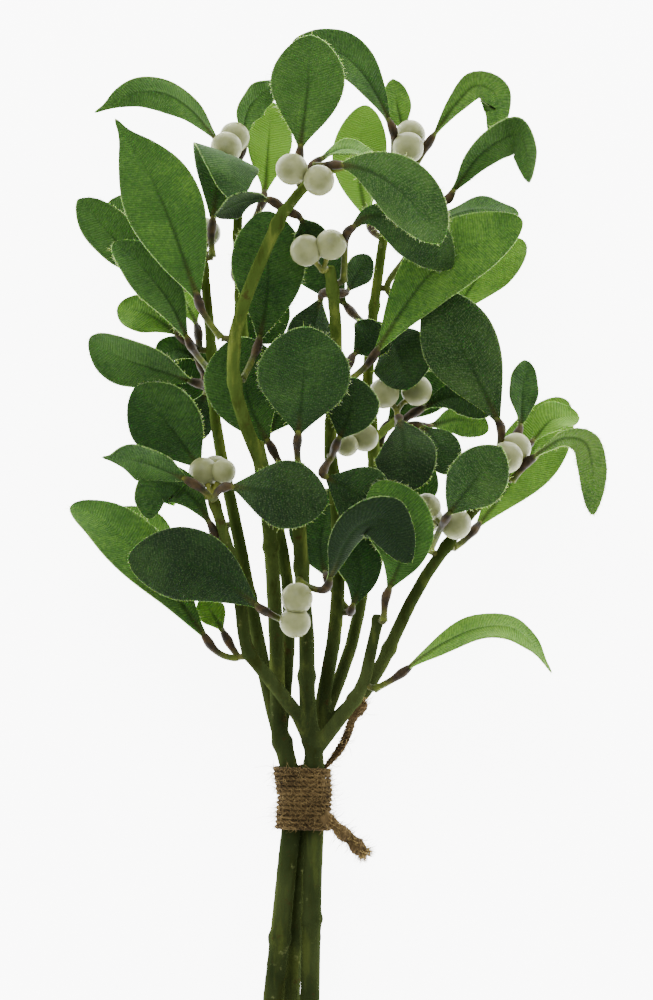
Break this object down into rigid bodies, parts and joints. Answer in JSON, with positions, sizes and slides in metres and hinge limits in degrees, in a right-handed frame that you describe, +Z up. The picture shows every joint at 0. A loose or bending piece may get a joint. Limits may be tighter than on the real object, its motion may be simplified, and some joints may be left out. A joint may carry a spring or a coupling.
{
  "type": "mistletoe bunch",
  "caption": "Lying bunch of artificial mistletoe: moulded forked stems tied with jute twine, with paired oval fabric leaves and small white wax-like berries.",
  "frame": {"origin": "centre of the bounding box, at its bottom, where the bunch lies on a surface", "axes": "+Z up from the surface, +Y along the stems from the cut ends to the leaves, +X to the right when it is seen from above with the cut ends nearest"},
  "size_m": [0.1448, 0.287, 0.089],
  "materials": {
    "stem": "satin moulded olive green",
    "leaf": "finely ribbed dark green velvety cloth",
    "leaf_light": "finely ribbed light green cloth",
    "berry": "soft translucent white wax",
    "twine": "hairy brown jute"
  },
  "bodies": {
    "root": {"berries_centre_right": "berry", "berries_inner_right": "berry", "berries_left": "berry", "berries_low": "berry", "berries_right": "berry", "berries_top": "berry", "berries_top_left": "berry", "berries_top_right": "berry", "berries_upper": "berry", "berry_inner": "berry", "berry_right_low": "berry", "berry_upper_left": "berry", "leaf_behind_stem": "leaf", "leaf_claw": "leaf", "leaf_curled": "leaf", "leaf_floor_low_left": "leaf", "leaf_folded": "leaf", "leaf_left_broad": "leaf", "leaf_left_hook": "leaf", "leaf_left_low_back": "leaf_light", "leaf_left_middle": "leaf", "leaf_left_oblique": "leaf", "leaf_low_left_dark": "leaf", "leaf_low_right": "leaf_light", "leaf_lowest_right": "leaf_light", "leaf_middle_front": "leaf", "leaf_pair_arch": "leaf", "leaf_pair_back_right": "leaf", "leaf_pair_centre": "leaf", "leaf_pair_centre_back": "leaf", "leaf_pair_diagonal": "leaf", "leaf_pair_floor_left": "leaf", "leaf_pair_floor_right": "leaf", "leaf_pair_fork": "leaf", "leaf_pair_inner": "leaf", "leaf_pair_inner_right": "leaf", "leaf_pair_left_inner": "leaf", "leaf_pair_left_light": "leaf_light", "leaf_pair_left_outer": "leaf", "leaf_pair_low_left": "leaf_light", "leaf_pair_middle_left": "leaf", "leaf_pair_right_back": "leaf_light", "leaf_pair_right_inner": "leaf", "leaf_pair_right_tip": "leaf", "leaf_pair_top": "leaf", "leaf_pair_top_back": "leaf", "leaf_pair_top_left": "leaf", "leaf_pair_top_right": "leaf", "leaf_pair_twig": "leaf", "leaf_right_bright": "leaf_light", "leaf_right_hanging": "leaf", "leaf_right_inner": "leaf", "leaf_right_velvet": "leaf", "leaf_spoon": "leaf", "leaf_top_velvet": "leaf", "leaf_upper_left_big": "leaf", "sprig_back": "stem", "sprig_front": "stem", "sprig_left": "stem", "twine": "twine"}
  },
  "joints": []
}
